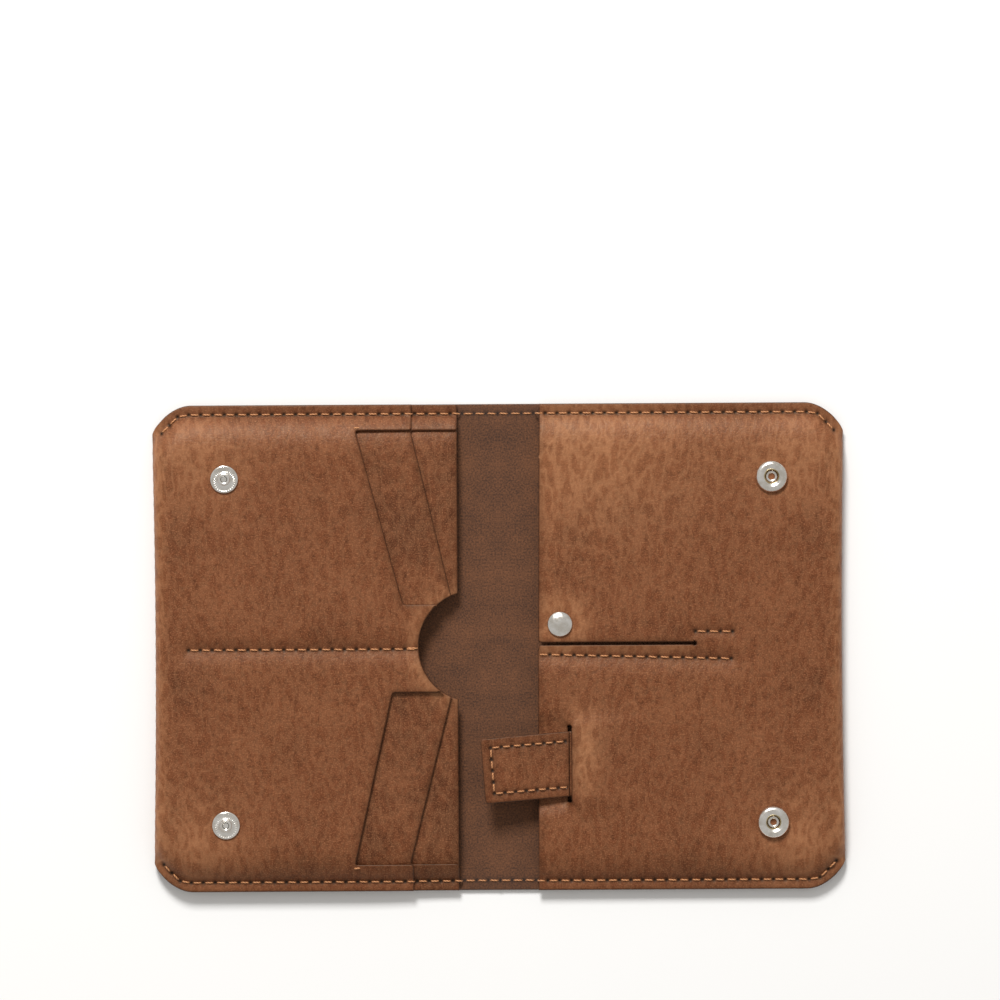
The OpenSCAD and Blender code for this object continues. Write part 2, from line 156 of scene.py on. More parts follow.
def inset(loop, amount):
    # moves a closed loop towards its left-hand side, by an amount for each point
    before, after = loop - np.roll(loop, 1, 0), np.roll(loop, -1, 0) - loop
    before /= np.linalg.norm(before, axis=1)[:, None]
    after /= np.linalg.norm(after, axis=1)[:, None]
    tangent = before + after
    length = np.maximum(np.linalg.norm(tangent, axis=1), 0.4)[:, None]
    normal = np.stack([-tangent[:, 1], tangent[:, 0]], 1) / length
    stretch = np.minimum(2 / length[:, 0], 1.5)
    return loop + normal * (amount * stretch)[:, None]


def stitchHoles(path, pitch):
    # evenly spaced holes along a path, one at each end
    path = np.asarray(path, float)
    gaps = np.linalg.norm(np.diff(path, axis=0), axis=1)
    along = np.concatenate([[0], np.cumsum(gaps)])
    count = max(2, int(round(along[-1] / pitch)) + 1)
    at = np.linspace(0, along[-1], count)
    return np.stack([np.interp(at, along, path[:, 0]), np.interp(at, along, path[:, 1])], 1)


# nodes for the materials


def put(tree, kind, inputs=None, **settings):
    # adds a node, sets it up and links it
    node = tree.nodes.new(kind)
    for key, value in settings.items():
        setattr(node, key, value)
    for key, value in (inputs or {}).items():
        if isinstance(value, bpy.types.NodeSocket):
            tree.links.new(value, node.inputs[key])
        else:
            node.inputs[key].default_value = value
    return node


def newMaterial(name):
    material = bpy.data.materials.new(name)
    material.use_nodes = True
    tree = material.node_tree
    return material, tree, tree.nodes["Principled BSDF"]


def ramp(tree, value, stops, smoothly=True):
    node = put(tree, "ShaderNodeValToRGB", {"Fac": value})
    node.color_ramp.interpolation = "EASE" if smoothly else "LINEAR"
    while len(node.color_ramp.elements) < len(stops):
        node.color_ramp.elements.new(0.5)
    for element, (place, colour) in zip(node.color_ramp.elements, stops):
        element.position = place
        element.color = linear(colour) if isinstance(colour, str) else [colour, colour, colour, 1]
    return node.outputs["Color"]


def mixColour(tree, share, first, second, kind="MIX"):
    node = put(tree, "ShaderNodeMix", data_type="RGBA", blend_type=kind)
    for key, value in ((0, share), (6, first), (7, second)):
        if isinstance(value, bpy.types.NodeSocket):
            tree.links.new(value, node.inputs[key])
        else:
            node.inputs[key].default_value = linear(value) if isinstance(value, str) else value
    return node.outputs[2]


def combine(tree, how, a, b=0.0, c=0.0):
    return put(tree, "ShaderNodeMath", {0: a, 1: b, 2: c}, operation=how).outputs[0]


def planCoordinates(tree, perMm):
    # the plan map holds centimetres of flat leather, so a scale per millimetre is ten times that
    source = put(tree, "ShaderNodeUVMap", uv_map="leatherPlan")
    return put(tree, "ShaderNodeVectorMath", {0: source.outputs[0], "Scale": 10 * perMm},
               operation="SCALE").outputs[0]


def noiseAt(tree, grainMm, detail=3.0, rough=0.55, stretch=None):
    # cloudy noise whose blotches are about grainMm across
    coords = planCoordinates(tree, 1 / grainMm)
    if stretch:
        coords = put(tree, "ShaderNodeMapping", {"Vector": coords, "Scale": stretch[0],
                                                 "Rotation": stretch[1]}).outputs[0]
    return put(tree, "ShaderNodeTexNoise", {"Vector": coords, "Scale": 1.0, "Detail": detail,
                                            "Roughness": rough}).outputs[0]


# materials
leatherLook = {
    # the pale colour serves random pale specks, handling wear and painted highlights
    "dark": "#552d19", "mid": "#703e24", "light": "#885234", "rubbed": "#aa714b",
    "vein": "#b8835c",
    # the near-black hole colour here is painted shade inside the stitch holes
    "edge": "#41220f", "pit": "#140904", "pore": "#3a1c0c",
    "cloudMm": 26.0, "mottleMm": 3.2, "grainMm": 0.8, "speckMm": 0.42, "creaseMm": 3.4,
    "roughness": (0.42, 0.58), "bumpMm": 0.17, "sheenTint": (1.0, 0.78, 0.58, 1.0),
}


def attribute(tree, name):
    return put(tree, "ShaderNodeAttribute", attribute_name=name).outputs["Fac"]


def waxedLeather(name, look, tone=0.0):
    # waxed pull-up hide, tumbled: cloudy brown, soft pebble, paler where it is bent or rubbed and where a
    # highlight is painted, with painted shade along seams and in stitch holes
    material, tree, shader = newMaterial(name)
    cloud = noiseAt(tree, look["cloudMm"], 3.0, 0.6)
    mottle = noiseAt(tree, look["mottleMm"], 4.0, 0.62)
    grain = put(tree, "ShaderNodeTexVoronoi",
                {"Vector": planCoordinates(tree, 1 / look["grainMm"]), "Scale": 1.0,
                 "Randomness": 0.95}, feature="SMOOTH_F1").outputs["Distance"]
    crease = noiseAt(tree, look["creaseMm"], 2.0, 0.5, ((1.0, 0.45, 1.0), (0, 0, 0.6)))
    fold = combine(tree, "ABSOLUTE", combine(tree, "SUBTRACT", crease, 0.5))
    crack = combine(tree, "SUBTRACT", 1.0, combine(tree, "MULTIPLY", fold, 9.0))
    crack = put(tree, "ShaderNodeClamp", {0: crack}).outputs[0]
    tan = combine(tree, "MULTIPLY_ADD", cloud, 0.62, combine(tree, "MULTIPLY", mottle, 0.38))
    tan = combine(tree, "ADD", tan, tone)
    colour = ramp(tree, tan, [(0.28, look["dark"]), (0.5, look["mid"]), (0.75, look["light"])])
    # pores between the pebbles hold the darker wax
    pores = combine(tree, "MULTIPLY", combine(tree, "POWER", grain, 1.6), 0.85)
    colour = mixColour(tree, pores, colour, look["pore"])
    speck = noiseAt(tree, look["speckMm"], 2.0, 0.6)
    speckle = put(tree, "ShaderNodeMapRange", {"Value": speck, "From Min": 0.5, "From Max": 0.78,
                                               "To Min": 0.0, "To Max": 0.75}).outputs[0]
    colour = mixColour(tree, speckle, colour, look["rubbed"])
    # the pale mask marks handling wear and painted highlights together
    rub = combine(tree, "MULTIPLY", attribute(tree, "rub"), combine(tree, "ADD", mottle, 0.15))
    colour = mixColour(tree, rub, colour, look["rubbed"])
    # fine creases open up paler, the more so where the wear and painted highlight mask is strong
    veins = combine(tree, "MULTIPLY", crack, combine(tree, "MULTIPLY_ADD", rub, 0.7, 0.12))
    colour = mixColour(tree, veins, colour, look["vein"])
    # the seam mask darkens the face towards the edge colour: partly leather pressed by the thread, partly
    # painted shade in the seam's groove; the rim mask is the burnished edge
    # the stitch-hole mask darkens the holes nearly to black: painted shade in the holes
    for mark, strength, tint in (("press", 0.34, "edge"), ("rim", 0.62, "edge"), ("pit", 1.35, "pit")):
        share = combine(tree, "MULTIPLY", attribute(tree, mark), strength)
        colour = mixColour(tree, share, colour, look[tint])
    rough = put(tree, "ShaderNodeMapRange", {"Value": mottle, "From Min": 0.3, "From Max": 0.7,
                                             "To Min": look["roughness"][0],
                                             "To Max": look["roughness"][1]}).outputs[0]
    height = combine(tree, "MULTIPLY_ADD", grain, -0.55, combine(tree, "MULTIPLY", mottle, 0.7))
    height = combine(tree, "MULTIPLY_ADD", speck, 0.35, height)
    height = combine(tree, "MULTIPLY_ADD", crack, -0.22, height)
    bump = put(tree, "ShaderNodeBump", {"Height": height, "Strength": 0.8,
                                        "Distance": look["bumpMm"] / 1000}).outputs[0]
    tree.links.new(colour, shader.inputs["Base Color"])
    tree.links.new(rough, shader.inputs["Roughness"])
    tree.links.new(bump, shader.inputs["Normal"])
    shader.inputs["IOR"].default_value = 1.46
    shader.inputs["Specular IOR Level"].default_value = 0.34
    shader.inputs["Specular Tint"].default_value = look["sheenTint"]
    return material


suedeLook = {"dark": "#301a0c", "light": "#774a2b", "napMm": 0.55, "patchMm": 9.0}


def nappedFlesh(name, look):
    # split flesh side, brushed: matt, dusty and a little streaky
    material, tree, shader = newMaterial(name)
    nap = noiseAt(tree, look["napMm"], 4.0, 0.7)
    patch = noiseAt(tree, look["patchMm"], 3.0, 0.6)
    tan = combine(tree, "MULTIPLY_ADD", nap, 0.8, combine(tree, "MULTIPLY", patch, 0.25))
    colour = ramp(tree, tan, [(0.3, look["dark"]), (0.75, look["light"])])
    # darker along seams: partly leather pressed by the thread, partly painted shade in the seam groove
    pressed = combine(tree, "MULTIPLY", attribute(tree, "press"), 0.4)
    colour = mixColour(tree, pressed, colour, look["dark"])
    # near-black painted shade in the stitch holes
    colour = mixColour(tree, attribute(tree, "pit"), colour, leatherLook["pit"])
    bump = put(tree, "ShaderNodeBump", {"Height": nap, "Strength": 0.7, "Distance": 0.00014}).outputs[0]
    tree.links.new(colour, shader.inputs["Base Color"])
    tree.links.new(bump, shader.inputs["Normal"])
    shader.inputs["Roughness"].default_value = 0.93
    shader.inputs["Sheen Weight"].default_value = 0.08
    shader.inputs["Sheen Roughness"].default_value = 0.6
    return material


edgeLook = {"dark": "#2f1a10", "light": "#5a3522", "layerMm": 0.4}


def burnishedEdge(name, look):
    # cut edge, sanded and rubbed with wax: darker than the face, smooth, with faint fibres
    material, tree, shader = newMaterial(name)
    fibre = noiseAt(tree, look["layerMm"] * 4, 3.0, 0.6)
    colour = ramp(tree, fibre, [(0.3, look["dark"]), (0.72, look["light"])])
    bump = put(tree, "ShaderNodeBump", {"Height": fibre, "Strength": 0.3, "Distance": 0.0001}).outputs[0]
    tree.links.new(colour, shader.inputs["Base Color"])
    tree.links.new(bump, shader.inputs["Normal"])
    shader.inputs["Roughness"].default_value = 0.46
    shader.inputs["Specular Tint"].default_value = leatherLook["sheenTint"]
    return material


threadLook = {"dark": "#9a6036", "light": "#cf915c", "strandMm": 0.5}


def waxedLinen(name, look):
    # two-ply linen thread, waxed: orange tan, slightly glossy, with painted shade in the grooves between the
    # plies
    material, tree, shader = newMaterial(name)
    hair = noiseAt(tree, look["strandMm"], 3.0, 0.6)
    # the ply mask lightens the crests of the twist and leaves painted shade in the grooves between the plies
    tan = combine(tree, "MULTIPLY_ADD", attribute(tree, "ply"), 0.75, combine(tree, "MULTIPLY", hair, 0.35))
    colour = ramp(tree, tan, [(0.22, look["dark"]), (0.85, look["light"])])
    bump = put(tree, "ShaderNodeBump", {"Height": hair, "Strength": 0.4, "Distance": 0.00006}).outputs[0]
    tree.links.new(colour, shader.inputs["Base Color"])
    tree.links.new(bump, shader.inputs["Normal"])
    shader.inputs["Roughness"].default_value = 0.55
    shader.inputs["Sheen Weight"].default_value = 0.15
    return material


def platedMetal(name, clean, worn, rough, scuffMm):
    # stamped and plated sheet: bright, with fine handling scuffs and a warmer worn tint
    material, tree, shader = newMaterial(name)
    place = put(tree, "ShaderNodeTexCoord").outputs["Object"]
    scuff = put(tree, "ShaderNodeTexNoise", {"Vector": place, "Scale": 1000 / scuffMm, "Detail": 5.0,
                                             "Roughness": 0.65}).outputs[0]
    cloud = put(tree, "ShaderNodeTexNoise", {"Vector": place, "Scale": 420.0, "Detail": 2.0}).outputs[0]
    colour = ramp(tree, cloud, [(0.35, clean), (0.7, worn)])
    dull = put(tree, "ShaderNodeMapRange", {"Value": scuff, "From Min": 0.35, "From Max": 0.7,
                                            "To Min": rough, "To Max": rough + 0.16}).outputs[0]
    bump = put(tree, "ShaderNodeBump", {"Height": scuff, "Strength": 0.15, "Distance": 0.00004}).outputs[0]
    tree.links.new(colour, shader.inputs["Base Color"])
    tree.links.new(dull, shader.inputs["Roughness"])
    tree.links.new(bump, shader.inputs["Normal"])
    shader.inputs["Metallic"].default_value = 1.0
    return material


coverLeather = waxedLeather("waxed pull-up leather, tumbled", leatherLook)
strapLeather = waxedLeather("waxed pull-up leather, strap cut", leatherLook, -0.03)
leafLeather = waxedLeather("waxed pull-up leather, split thin", leatherLook, -0.1)
fleshSide = nappedFlesh("leather flesh side, napped", suedeLook)
cutEdge = burnishedEdge("leather edge, burnished", edgeLook)
linenThread = waxedLinen("linen thread, waxed", threadLook)
nickelPlate = platedMetal("steel, nickel plated", "#f1ede6", "#dcd5ca", 0.16, 0.9)
brassPlate = platedMetal("brass, stamped", "#b3a27a", "#8f7d55", 0.32, 0.8)
print("materials made")

# leather sheets
sheetSettings = {
    "spacing": 2.3,       # points of the open surface
    "rimSpacing": 1.0,    # points along a cut edge
    "seamDepth": 0.17,    # how far a seam sinks into the leather
    "holeDepth": 0.42,
    "edgeInsets": (0.55, 0.2, 0.0, 0.0, 0.2, 0.55),
    "edgeShares": (0.0, 0.08, 0.34, 0.66, 0.92, 1.0),
    "underPlan": 370.0,   # the underside takes its grain from this far along the hide
}


def fillPoints(loops, rings, seams, holes, spacing):
    # a triangular grid over the sheet, with closer rows along seams and round holes
    low, high = loops[0].min(0), loops[0].max(0)
    rows = []
    for j, y in enumerate(np.arange(low[1], high[1], spacing * 0.866)):
        xs = np.arange(low[0] + (j % 2) * spacing / 2, high[0], spacing)
        rows.append(np.stack([xs, np.full(len(xs), y)], 1))
    grid = np.vstack(rows)
    parts = []
    if len(seams):
        grid = grid[pathDistance(grid, seams) > 3.6]
        for path in seams:
            path = np.asarray(path, float)
            tangent = np.gradient(path, axis=0)
            tangent /= np.maximum(np.linalg.norm(tangent, axis=1), 1e-9)[:, None]
            normal = np.stack([-tangent[:, 1], tangent[:, 0]], 1)
            for away in (-2.7, -1.7, -1.0, -0.5, 0.0, 0.5, 1.0, 1.7, 2.7):
                parts.append(path + normal * away)
        band = np.vstack(parts)
        if len(holes):
            nearHole = np.sqrt(((band[:, None] - holes[None]) ** 2).sum(2)).min(1)
            band = band[nearHole > 0.62]
            ring = [holes + r * np.array([math.cos(a), math.sin(a)])
                    for r, count in ((0.42, 7), (0.95, 9), (1.7, 11))
                    for a in np.linspace(0, 2 * math.pi, count)[:-1]]
            band = np.vstack([band, holes] + ring)
        grid = np.vstack([grid, band])
    keep = inside(grid, rings[0])
    for hole in rings[1:]:
        keep &= ~inside(grid, hole)
    grid = grid[keep]
    starts = np.vstack(rings)
    ends = np.vstack([np.roll(r, -1, 0) for r in rings])
    grid = grid[segmentDistance(grid, starts, ends) > 0.4]
    # points that came too close together are thinned out
    cells = {}
    for p in grid:
        cells.setdefault((round(p[0] / 0.36), round(p[1] / 0.36)), p)
    return np.array(list(cells.values()))


def makeMesh(name, points, faces, kinds, surfaces, plan, values):
    mesh = bpy.data.meshes.new(name)
    mesh.from_pydata((np.asarray(points) / 1000).tolist(), [], faces)
    for surface in surfaces:
        mesh.materials.append(surface)
    mesh.polygons.foreach_set("material_index", kinds)
    mesh.polygons.foreach_set("use_smooth", [True] * len(faces))
    for key, numbers in values.items():
        layer = mesh.attributes.new(key, "FLOAT", "POINT")
        layer.data.foreach_set("value", np.asarray(numbers, np.float32))
    corners = np.zeros(len(mesh.loops), int)
    mesh.loops.foreach_get("vertex_index", corners)
    planMap = mesh.uv_layers.new(name="leatherPlan")
    planMap.data.foreach_set("uv", (np.asarray(plan)[corners] / 10).ravel())
    mesh.validate()
    piece = bpy.data.objects.new(name, mesh)
    bpy.context.scene.collection.objects.link(piece)
    return piece


def leatherSheet(name, loops, place, surfaces, thick, seams=(), holes=(), butt=None, rub=None,
                 spacing=None):
    # loops: outer edge and openings in the flat sheet; place: flat sheet and share of depth to space
    setup = sheetSettings
    loops = [resample(loop, setup["rimSpacing"]) for loop in loops]
    areas = [(l[:, 0] * np.roll(l[:, 1], -1) - np.roll(l[:, 0], -1) * l[:, 1]).sum() for l in loops]
    loops = [l if (area > 0) == (i == 0) else l[::-1] for i, (l, area) in enumerate(zip(loops, areas))]
    square = [butt(l) if butt else np.zeros(len(l), bool) for l in loops]
    layers = [[inset(l, np.where(s, 0.0, amount)) for l, s in zip(loops, square)]
              for amount in setup["edgeInsets"]]
    holes = np.asarray(holes, float).reshape(-1, 2)
    fill = fillPoints(loops, layers[0], seams, holes, spacing or setup["spacing"])
    ring = np.vstack(layers[0])
    edges, first = [], 0
    for l in loops:
        edges += [(first + i, first + (i + 1) % len(l)) for i in range(len(l))]
        first += len(l)
    flat, _, triangles, origins, _, _ = geometry.delaunay_2d_cdt(
        [Vector(p) for p in np.vstack([ring, fill])], edges, [], 1, 1e-6)
    flat = np.array([tuple(p) for p in flat])
    found = {}
    for out, sources in enumerate(origins):
        for source in sources:
            found[source] = out
    centres = flat[np.array([list(t) for t in triangles])].mean(1)
    keep = np.ones(len(centres), bool)
    for hole in layers[0][1:]:
        keep &= ~inside(centres, hole)
    triangles = [list(t) for t, k in zip(triangles, keep) if k]

    def worn(points):
        # how near a point is to a seam, a stitch hole and a cut edge
        # nearness to a seam sinks the seam and darkens it, partly as pressed leather and partly as painted
        # shade
        press = hill(pathDistance(points, seams), 1.5) if len(seams) else np.zeros(len(points))
        pit = np.zeros(len(points))
        # nearness to a stitch hole dips the leather there and paints shade into the hole
        if len(holes):
            pit = hill(np.sqrt(((points[:, None] - holes[None]) ** 2).sum(2)).min(1), 0.52)
        cut = np.vstack([l[~s] for l, s in zip(loops, square)])
        rim = np.zeros(len(points))
        for i in range(0, len(points), 1500):
            gap = np.sqrt(((points[i:i + 1500, None] - cut[None]) ** 2).sum(2)).min(1)
            rim[i:i + 1500] = np.exp(-gap / 0.75)
        return press, pit, rim

    press, pit, rim = worn(flat)
    dip = (setup["seamDepth"] * press + setup["holeDepth"] * pit) / thick
    top = place(flat[:, 0], flat[:, 1], dip)
    under = place(flat[:, 0], flat[:, 1], 1 - dip * 0.6)
    count = len(flat)
    points, plan = [top, under], [flat, flat + setup["underPlan"]]
    values = {"press": [press, press], "pit": [pit, pit], "rim": [rim, rim * 0]}
    faces = list(triangles) + [[i + count for i in reversed(t)] for t in triangles]
    kinds = [0] * len(triangles) + [1] * len(triangles)
    rings = [np.array([found[i] for i in range(len(ring))])]
    total = 2 * count
    for layer, share in list(zip(layers, setup["edgeShares"]))[1:-1]:
        flatRing = np.vstack(layer)
        points.append(place(flatRing[:, 0], flatRing[:, 1], np.full(len(flatRing), share)))
        plan.append(flatRing + (0 if share < 0.5 else setup["underPlan"]))
        for key in values:
            values[key].append(np.full(len(flatRing), 1.0 if key == "rim" else 0.0))
        rings.append(np.arange(total, total + len(flatRing)))
        total += len(flatRing)
    rings.append(rings[0] + count)
    wallKinds = [0, 2, 2, 2, 1]
    for kind, above, below in zip(wallKinds, rings, rings[1:]):
        for a, b in edges:
            faces.append([int(above[b]), int(above[a]), int(below[a]), int(below[b])])
            kinds.append(kind)
    points = np.vstack(points)
    values = {key: np.concatenate(parts) for key, parts in values.items()}
    # handling wear and painted highlights as one pale mask
    values["rub"] = rub(points) if rub else np.zeros(len(points))
    piece = makeMesh(name, points, faces, kinds, surfaces, np.vstack(plan), values)
    if butt:
        flags = np.concatenate(square)
        sharp = set()
        for ringIds in (rings[0], rings[-1]):
            sharp |= {int(i) for i, f in zip(ringIds, flags) if f}
        for edge in piece.data.edges:
            if edge.vertices[0] in sharp and edge.vertices[1] in sharp:
                edge.use_edge_sharp = True
    shape = bmesh.new()
    shape.from_mesh(piece.data)
    bmesh.ops.recalc_face_normals(shape, faces=shape.faces)
    shape.to_mesh(piece.data)
    shape.free()
    return piece


# shapes shared by the pieces
wallet = {
    "frontThick": 1.2, "leafThick": 0.9,
    "cornerCut": 7.6, "cornerSoft": 5.0,   # slanted outer corners, a little rounded
    "waist": 1.0,                          # the outer folds draw in between the corners
    "pressed": 3.5, "flatFrom": 17.0,      # sewn margin and where the leaves lie flat
    "seamIn": 3.0, "pitch": 3.7,
    "rise": 0.14,                          # slow waves of the hide
    "hingeX": 6.4,                         # the covers bend about lines this far from the middle
    "seamTurn": 102.0,                     # past this the seam goes round the fold
}
pressedLeft = coverTop + 2 * wallet["leafThick"] + wallet["frontThick"]
pressedRight = coverTop + wallet["leafThick"] + wallet["frontThick"]
studUp, studLow = middleMm("upper_stud"), middleMm("lower_stud")
socketUp, socketLow = middleMm("upper_socket"), middleMm("lower_socket")
coinSnap = middleMm("coin_cap")
stripX = 27.0      # inner edge of the left front leaf
innerX = -boxMm("inner_leaf")[1][0]
slit = {"y": coinSnap[1] - 6.2, "end": 61.2, "wide": 0.8, "hole": 0.62}
freeX = boxMm("coin_flap")[0][0]


def edgeY(x):
    # half height of the outline at x, with the slanted corners worked in softly
    slant = halfH - wallet["cornerCut"] + halfW - np.abs(x)
    soft = wallet["cornerSoft"]
    share = np.clip(0.5 + 0.5 * (slant - halfH) / soft, 0, 1)
    return slant * (1 - share) + halfH * share - soft * share * (1 - share)


def crown(x, y, low, high):
    # leaves swell quickly from the sewn margin and level out slowly
    away = edgeY(x) - np.abs(y)
    share = np.clip((away - wallet["pressed"]) / (wallet["flatFrom"] - wallet["pressed"]), 0, 1)
    return low + (high - low) * (1 - (1 - share) ** 3)


def waves(x, y):
    # the hide never lies quite flat
    return wallet["rise"] * (np.sin(x / 13 + 0.4) * np.sin(y / 17 + 1.1)
                             + 0.6 * np.sin(x / 6.1 + y / 8.3) * np.sin(y / 11 + 2.0))


def pulled(x, y, path, deep, wide):
    # leaves drawn together along a seam
    flat = np.stack([np.ravel(x), np.ravel(y)], 1)
    return (-deep * hill(pathDistance(flat, [path]), wide)).reshape(np.shape(x))


leftSeam = [(-97.5, -0.35), (-25.6, -0.35)]
rightSeam = [(freeX - 0.4, slit["y"] - 3.3), (72.7, slit["y"] - 4.9)]
staySeam = [(61.5, slit["y"] + 3.7), (73.2, slit["y"] + 3.6)]


def snapDents(x, y, spots):
    # a snap's rim presses a shallow ring around itself
    out = np.zeros(np.shape(x))
    for spot, r in spots:
        away = np.hypot(x - spot[0], y - spot[1])
        out -= 0.32 * hill(np.maximum(away - r, 0), 1.3)
    return out


def leftFront(x, y):
    z = crown(x, y, pressedLeft, frontTop)
    z += pulled(x, y, leftSeam, 1.0, 3.2)
    near = smooth(0, 26, -np.asarray(x) - 20)
    z -= 0.35 * (1 - near)
    z += snapDents(x, y, ((studUp, 4.0), (studLow, 4.0)))
    inner = smooth(3, 9, edgeY(x) - np.abs(y)) * smooth(halfW, halfW - 12, np.abs(x))
    return z + waves(x, y) * inner


def leftMiddle(x, y):
    z = crown(x, y, coverTop + 2 * wallet["leafThick"], middleTop)
    z += pulled(x, y, leftSeam, 1.0, 3.2) - 0.30 * (1 - smooth(0, 20, -np.asarray(x) - 14))
    return z + waves(x, y) * smooth(3, 9, edgeY(x) - np.abs(y)) - 0.06


def leftInner(x, y):
    z = crown(x, y, coverTop + wallet["leafThick"], innerTop)
    z += pulled(x, y, leftSeam, 1.0, 3.2) - 0.30 * (1 - smooth(0, 16, -np.asarray(x) - 12))
    return z + waves(x, y) * smooth(3, 9, edgeY(x) - np.abs(y)) - 0.12


strap = {"slitX": 22.0, "slitY": (-47.9, -25.1), "dip": 1.5, "lift": 0.9, "turn": 4.4,
         "wide": 20.3, "tab": 27.3, "thick": 0.8, "base": rightTop - 1.4}


def rightFront(x, y):
    z = crown(x, y, pressedRight, rightTop)
    z += pulled(x, y, rightSeam, 1.15, 3.4) + pulled(x, y, staySeam, 0.5, 2.4)
    z += snapDents(x, y, ((socketUp, 4.6), (socketLow, 4.6), (coinSnap, 3.9)))
    # the coin pocket swells a little, and the leather steps down and up around the strap slit
    z += 0.55 * hill(np.hypot((x - 62) / 1.5, y - 36), 24)
    low, high = strap["slitY"]
    centre, reach = (low + high) / 2, (high - low) / 2
    past = np.maximum(np.abs(y - centre) - reach, 0)
    window = 1 - smooth(0, 5.5, past)
    side = smooth(-1, 1, (x - strap["slitX"]) / (0.35 + 1.1 * past))
    fade = 1 - smooth(30, 52, x)
    z += window * (-strap["dip"] * (1 - side) + strap["lift"] * side * fade)
    inner = smooth(3, 9, edgeY(x) - np.abs(y)) * smooth(halfW, halfW - 12, np.abs(x))
    return z + waves(x + 40, y) * inner * (1 - window * fade)


def divider(x, y):
    z = crown(x, y, coverTop + wallet["leafThick"], dividerTop)
    return z - 0.02


def drawIn(x, y):
    # the outer folds curve in between the corners
    return x - np.sign(x) * wallet["waist"] * (np.abs(x) / halfW) ** 6 * (1 - (y / halfH) ** 2)


# covers: outer panel, round fold and front leaf cut from one hide


def coverMap(side, front, high):
    # the flat strip runs from the spine out to the fold and back over the top
    bend = high / 2
    flat = halfW - bend
    fold = math.pi * bend

    def planX(u):
        turn = np.clip((u - flat) / bend, 0, math.pi)
        return np.where(u <= flat, u, np.where(u >= flat + fold, 2 * flat + fold - u,
                                               flat + bend * np.sin(turn)))

    def place(u, v, share):
        x = planX(u)
        turn = np.clip((u - flat) / bend, 0, math.pi)
        thick = coverTop + (wallet["frontThick"] - coverTop) * turn / math.pi
        deep = share * thick
        tall = front(side * x, v)
        z = tall / 2 - (tall / 2 - deep) * np.cos(turn)
        drawn = drawIn(x, v) - deep * np.sin(turn)
        return np.stack([side * drawn, v, z], 1)

    def onTop(x):
        return 2 * flat + fold - np.abs(x)

    return planX, place, onTop


def coverLoop(planX, onTop, lowEnd, topEnd, frontCorners):
    # outline of the flat strip: lower edge out and round, the front leaf's shape, upper edge back
    sides = []
    for end in (lowEnd, topEnd):
        steps = np.linspace(0, onTop(end), 420)
        nearFold = np.maximum(planX(steps) / halfW - 0.985, 0) / 0.015
        sides.append(np.stack([steps, edgeY(planX(steps)) - 0.9 * nearFold ** 2], 1))
    lower, upper = sides[0] * [1, -1], sides[1][::-1]
    return list(lower) + [(onTop(x), y) for x, y in frontCorners] + list(upper)


def edgeSeam(endX):
    # along the top edge from the slanted corner to endX, as the right half
    cut = wallet["cornerCut"] + 1.2
    margin = wallet["seamIn"]
    return [(halfW - margin, halfH - cut), (halfW - cut, halfH - margin), (endX, halfH - margin)]


def densePath(path, gap=0.9):
    path = np.asarray(path, float)
    out = []
    for a, b in zip(path, path[1:]):
        count = max(1, int(np.linalg.norm(b - a) / gap))
        out += [a + (b - a) * i / count for i in range(count)]
    return np.array(out + [path[-1]])


topHoles = stitchHoles(edgeSeam(0.0), wallet["pitch"])
notch = {"x": -7.9, "y": 0.4, "r": 17.2}


def notchAt(y):
    return notch["x"] - math.sqrt(notch["r"] ** 2 - (y - notch["y"]) ** 2)


def notchArc(yFrom, yTo, count=26):
    # the left side of the thumb notch between two heights
    a = math.degrees(math.atan2(yFrom - notch["y"], notchAt(yFrom) - notch["x"])) % 360
    b = math.degrees(math.atan2(yTo - notch["y"], notchAt(yTo) - notch["x"])) % 360
    return arc(notch["x"], notch["y"], notch["r"], a, b, count)


def wearAndHighlightLeft(points):
    # paler where the wallet is handled: beside the notch and along the fold, where the pale band is partly a
    # painted highlight; over the crown's shoulder near each corner the paling is a painted highlight with
    # some wear
    x, y = points[:, 0], points[:, 1]
    fold = smooth(halfW - 6, halfW - 0.5, np.abs(x))
    thumb = hill(np.hypot(x - notch["x"], y - notch["y"]) - notch["r"], 3.5) * 0.5
    corner = 0.35 * hill(np.hypot(np.abs(x) - halfW + 14, np.abs(y) - halfH + 16), 15)
    return np.clip(0.55 * fold + thumb + corner, 0, 1) * (points[:, 2] > 1.5)


leftPlanX, leftPlace, leftOnTop = coverMap(-1, leftFront, frontTop)
# card mouths: heights where they start and end, and the corners of the slanting edge between
mouth = {"top": 68.0, "low": -67.7}
frontLeaf = {"upper": (-44.5, -29.8), "lower": (-45.2, -33.3), "end": (-13.9, 13.6), "corner": 0.9}
endLow, endHigh = frontLeaf["end"]
frontEdge = roundCorners([(-stripX, -halfH), (-stripX, mouth["low"]), (frontLeaf["lower"][0], mouth["low"]),
                          (frontLeaf["lower"][1], endLow), (notchAt(endLow), endLow)],
                         frontLeaf["corner"])
frontEdge += notchArc(endLow, endHigh)
frontEdge += roundCorners([(notchAt(endHigh), endHigh), (frontLeaf["upper"][1], endHigh),
                           (frontLeaf["upper"][0], mouth["top"]), (-stripX, mouth["top"]),
                           (-stripX, halfH)], frontLeaf["corner"])
leftSeams, leftHoles = [], []
for sign in (1, -1):
    # the seam over the corner turns with the fold, so its holes come back from the top layer
    onLeaf = [(leftOnTop(x), sign * y) for x, y in topHoles if x > stripX]
    onCover = [(x, sign * y) for x, y in topHoles if x <= leftPlanX(np.array([wallet["seamTurn"]]))[0]]
    leftSeams += [densePath(onLeaf), densePath(onCover)]
    leftHoles += onLeaf + onCover
divideHoles = stitchHoles(leftSeam, wallet["pitch"])
leftSeams.append(densePath([(leftOnTop(x), y) for x, y in leftSeam]))
leftHoles += [(leftOnTop(x), y) for x, y in divideHoles]
